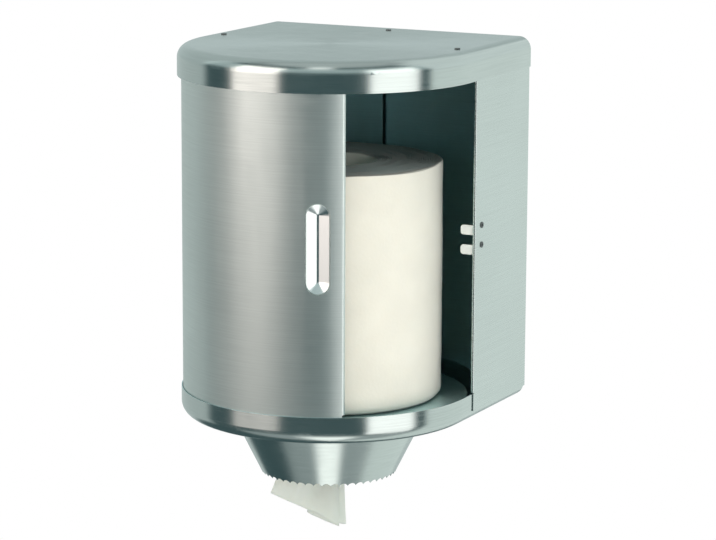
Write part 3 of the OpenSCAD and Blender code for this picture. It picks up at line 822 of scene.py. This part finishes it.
class DISPENSER_OT_windings(bpy.types.Operator):
    """Lay the wound edge of the paper over the roll's upper end"""

    bl_idname = "dispenser.windings"
    bl_label = "Roll windings"

    def execute(self, context):
        s = context.scene.dispenser_paper
        # The wound edge is coloured at about a third of the paper, tinted blue-green: painted shade on the
        # roll's upper end
        material = tissue("tissue_edge", s, painted_light_tint=(0.34, 0.38, 0.4))
        tree = self.spiral_tree(material)
        host = bpy.data.objects.new("roll_windings_host", bpy.data.meshes.new("roll_windings_host"))
        context.collection.objects.link(host)
        mod = host.modifiers.new("windings", "NODES")
        mod.node_group = tree
        ids = {i.name: i.identifier for i in tree.interface.items_tree if getattr(i, "in_out", "") == "INPUT"}
        mod[ids["Turns"]] = float(s.windings)
        mod[ids["Inner radius"]] = BORE_R + 0.002
        mod[ids["Outer radius"]] = ROLL_R - 0.004
        mod[ids["Edge thickness"]] = 0.0005
        mod[ids["Height"]] = ROLL_HIGH.z - 0.0011
        mod[ids["Axis depth"]] = AXIS_Y
        dg = context.evaluated_depsgraph_get()
        mesh = bpy.data.meshes.new_from_object(host.evaluated_get(dg))
        bpy.data.objects.remove(host)
        if not mesh.polygons:
            raise RuntimeError("the windings came out empty")
        piece = bpy.data.objects.new("roll_windings", mesh)
        context.collection.objects.link(piece)
        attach(piece, "roll")
        return {"FINISHED"}

    def spiral_tree(self, material):
        """Spiral curve with a thin round section"""
        g = bpy.data.node_groups.new("wound_edge", "GeometryNodeTree")
        for label, value in (("Turns", 26.0), ("Inner radius", 0.04), ("Outer radius", 0.09),
                             ("Edge thickness", 0.0005), ("Height", 0.0), ("Axis depth", 0.0)):
            g.interface.new_socket(label, in_out="INPUT", socket_type="NodeSocketFloat").default_value = value
        g.interface.new_socket("Geometry", in_out="OUTPUT", socket_type="NodeSocketGeometry")
        n, k = g.nodes, g.links
        gin, gout = n.new("NodeGroupInput"), n.new("NodeGroupOutput")
        spiral = n.new("GeometryNodeCurveSpiral")
        spiral.inputs["Resolution"].default_value = 96
        spiral.inputs["Height"].default_value = 0.0
        k.new(gin.outputs["Turns"], spiral.inputs["Rotations"])
        k.new(gin.outputs["Inner radius"], spiral.inputs["Start Radius"])
        k.new(gin.outputs["Outer radius"], spiral.inputs["End Radius"])
        ring = n.new("GeometryNodeCurvePrimitiveCircle")
        ring.inputs["Resolution"].default_value = 4
        k.new(gin.outputs["Edge thickness"], ring.inputs["Radius"])
        tube = n.new("GeometryNodeCurveToMesh")
        k.new(spiral.outputs[0], tube.inputs["Curve"])
        k.new(ring.outputs[0], tube.inputs["Profile Curve"])
        tube.inputs["Fill Caps"].default_value = True
        place = n.new("ShaderNodeCombineXYZ")
        k.new(gin.outputs["Axis depth"], place.inputs["Y"])
        k.new(gin.outputs["Height"], place.inputs["Z"])
        move = n.new("GeometryNodeTransform")
        k.new(tube.outputs[0], move.inputs["Geometry"])
        k.new(place.outputs[0], move.inputs["Translation"])
        real = n.new("GeometryNodeRealizeInstances")
        k.new(move.outputs[0], real.inputs[0])
        paint = n.new("GeometryNodeSetMaterial")
        paint.inputs["Material"].default_value = material
        k.new(real.outputs[0], paint.inputs["Geometry"])
        k.new(paint.outputs[0], gout.inputs["Geometry"])
        return g


class DISPENSER_OT_paper_tail(bpy.types.Operator):
    """Make the folded tissue that hangs out of the cone"""

    bl_idname = "dispenser.paper_tail"
    bl_label = "Paper tail"

    OPEN = ((-51, 1), (-34, -4), (-14, -3), (2, -6), (9, -3), (-8, 1), (-19, 4), (-6, 7), (8, 5), (15, 7))
    RISE = ((29,), (23,), (14,), (6,), (1.5,), (7,), (12,), (8,), (2,), (0.5,))

    def execute(self, context):
        s = context.scene.dispenser_paper
        bm = bmesh.new()
        nu, nv = 110, 70
        grid = []
        for j in range(nv + 1):
            t = j / nv
            grid.append([bm.verts.new(self.place(i / nu, t)) for i in range(nu + 1)])
        for j in range(nv):
            for i in range(nu):
                bm.faces.new((grid[j][i], grid[j + 1][i], grid[j + 1][i + 1], grid[j][i + 1]))
        area = sum(f.calc_area() for f in bm.faces)
        # The tail is the roll's tissue tinted blue-green: painted light, a blue-green cast on the same tissue as
        # the roll
        material = tissue("tissue_tail", s, through=0.22, painted_light_tint=(0.98, 1.08, 1.13))
        piece = new_piece("tail_paper", bm, material, "tail")
        wall = piece.modifiers.new("thickness", "SOLIDIFY")
        wall.thickness = s.sheet_thickness
        wall.offset = 0.0
        dg = context.evaluated_depsgraph_get()
        mesh = bpy.data.meshes.new_from_object(piece.evaluated_get(dg))
        piece.modifiers.clear()
        piece.data = mesh
        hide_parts("paper_tail")
        return {"FINISHED"}

    def place(self, u, t):
        """Point of the sheet: u across from its left edge, t down from the roll's bore"""
        a, b = catmull(self.OPEN, u)
        rise = catmull(self.RISE, u)[0]
        open_up = 0.30 + 0.70 * t ** 1.5
        a = a * open_up + 6 * (1 - t)
        b = b * (1.0 + 0.3 * (1 - t)) + 4 * math.sin(math.radians(200 * t))
        peel = (1 - t / PEEL_END) ** 2 if t < PEEL_END else 0.0
        turn = math.radians(150 - 110 * u)
        a = peel * PEEL_R * math.cos(turn) + (1 - peel) * a
        b = peel * PEEL_R * math.sin(turn) + (1 - peel) * b
        z = TAIL_HIGH.z + (TAIL_LOW.z + rise * 0.001 - TAIL_HIGH.z) * t
        here = Vector((a * 0.03, b * 0.09, z * 30))
        b += (0.9 * noise.noise(here * 2.2) + 0.45 * noise.noise(here * 6.1)) * min(1.0, t * 2.5)
        x = (a * math.cos(TAIL_TURN) - b * math.sin(TAIL_TURN)) * 0.001
        y = (a * math.sin(TAIL_TURN) + b * math.cos(TAIL_TURN)) * 0.001
        return (x, AXIS_Y + y, z)


class DISPENSER_PT_panel(bpy.types.Panel):
    """Lists the dispenser's steps"""

    bl_idname = "DISPENSER_PT_panel"
    bl_label = "Dispenser"
    bl_space_type = "VIEW_3D"
    bl_region_type = "UI"
    bl_category = "Dispenser"

    def draw(self, context):
        for step in STEPS:
            self.layout.operator(step.bl_idname)
        for group in ("dispenser_steel", "dispenser_nylon", "dispenser_paper", "dispenser_studio"):
            settings = getattr(context.scene, group)
            for name in settings.__annotations__:
                self.layout.prop(settings, name)


SETTINGS = {
    "dispenser_steel": SteelSettings,
    "dispenser_nylon": NylonSettings,
    "dispenser_paper": PaperSettings,
    "dispenser_studio": StudioSettings,
}
STEPS = (
    DISPENSER_OT_camera,
    DISPENSER_OT_stage,
    DISPENSER_OT_satin_sheet,
    DISPENSER_OT_bright_parts,
    DISPENSER_OT_nylon_parts,
    DISPENSER_OT_paper_roll,
    DISPENSER_OT_windings,
    DISPENSER_OT_paper_tail,
)
CLASSES = (*SETTINGS.values(), *STEPS, DISPENSER_PT_panel)


def register():
    for c in CLASSES:
        bpy.utils.register_class(c)
    for name, group in SETTINGS.items():
        setattr(bpy.types.Scene, name, bpy.props.PointerProperty(type=group))


def unregister():
    for name in SETTINGS:
        delattr(bpy.types.Scene, name)
    for c in reversed(CLASSES):
        bpy.utils.unregister_class(c)


def main():
    register()
    for step in STEPS:
        space, name = step.bl_idname.split(".")
        getattr(getattr(bpy.ops, space), name)()


if __name__ == "__main__":
    main()
